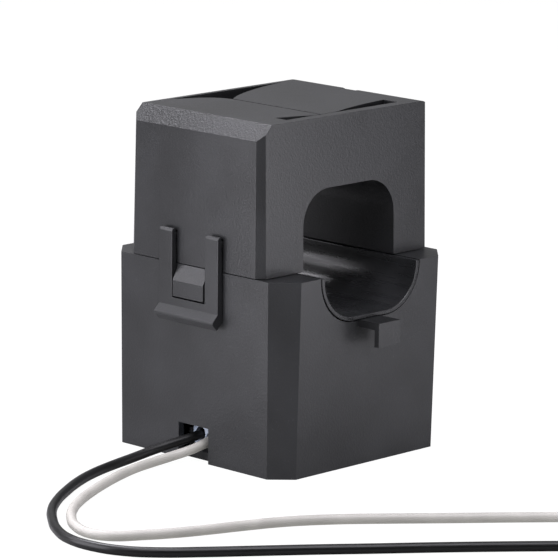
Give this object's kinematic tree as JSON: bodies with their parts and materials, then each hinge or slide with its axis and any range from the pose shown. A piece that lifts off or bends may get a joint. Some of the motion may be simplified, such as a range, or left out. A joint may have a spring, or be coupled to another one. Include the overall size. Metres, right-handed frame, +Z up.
{
  "type": "split-core current transformer",
  "caption": "Split-core current transformer: black base with a hinged, latched cap round a square conductor window, and two flying leads from the base",
  "frame": {"origin": "middle of the flush underside of the bottom cover, on the surface the transformer stands on", "axes": "+Z up from the underside to the cap's top, Y along the conductor through the window, +X from the latch side to the hinge side"},
  "size_m": [0.082, 0.1123, 0.05],
  "materials": {
    "black_plastic": "fine satin moulded flame-retardant plastic",
    "grey_plastic": "satin moulded plastic, a shade lighter",
    "core_steel": "cut and lapped core strip, varnished",
    "spring_steel": "rolled spring steel",
    "pin_steel": "bright drawn steel",
    "enamelled_copper": "enamelled copper wire",
    "winding_tape": "polyester winding tape",
    "foam_pad": "closed-cell foam",
    "board": "glass-epoxy circuit board",
    "diode_body": "moulded epoxy with tinned terminals",
    "nylon": "natural white nylon",
    "black_lead": "soft PVC sleeve",
    "white_lead": "soft PVC sleeve",
    "tinned_strands": "tinned copper strands"
  },
  "bodies": {
    "base": {"base_shell": "black_plastic", "bottom_cover": "black_plastic", "channel_liner": "grey_plastic", "lower_core": "core_steel", "bobbin": "grey_plastic", "winding": "enamelled_copper", "winding_tape": "winding_tape", "winding_tails": "enamelled_copper", "terminal_board": "board", "protection_diode": "diode_body", "lead_tie": "nylon", "hinge_pin": "pin_steel", "lead_black": "black_lead", "lead_white": "white_lead", "coil_black": "black_lead", "coil_white": "white_lead", "strands_black": "tinned_strands", "strands_white": "tinned_strands"},
    "cap": {"cap_shell": "black_plastic", "upper_core": "core_steel", "core_pad": "foam_pad", "core_spring": "spring_steel"},
    "latch": {"latch_clip": "black_plastic"}
  },
  "joints": [
    {"name": "cap_hinge", "type": "hinge", "parent": "base", "child": "cap", "pos_m": [0.0188, 0, 0.0283], "axis": [0, 1, 0], "range_deg": [0, 120]},
    {"name": "latch_pivot", "type": "hinge", "parent": "cap", "child": "latch", "pos_m": [-0.01595, 0, 0.0324], "axis": [0, 1, 0], "range_deg": [0, 12], "stiffness_Nm_per_rad": 0.05}
  ]
}
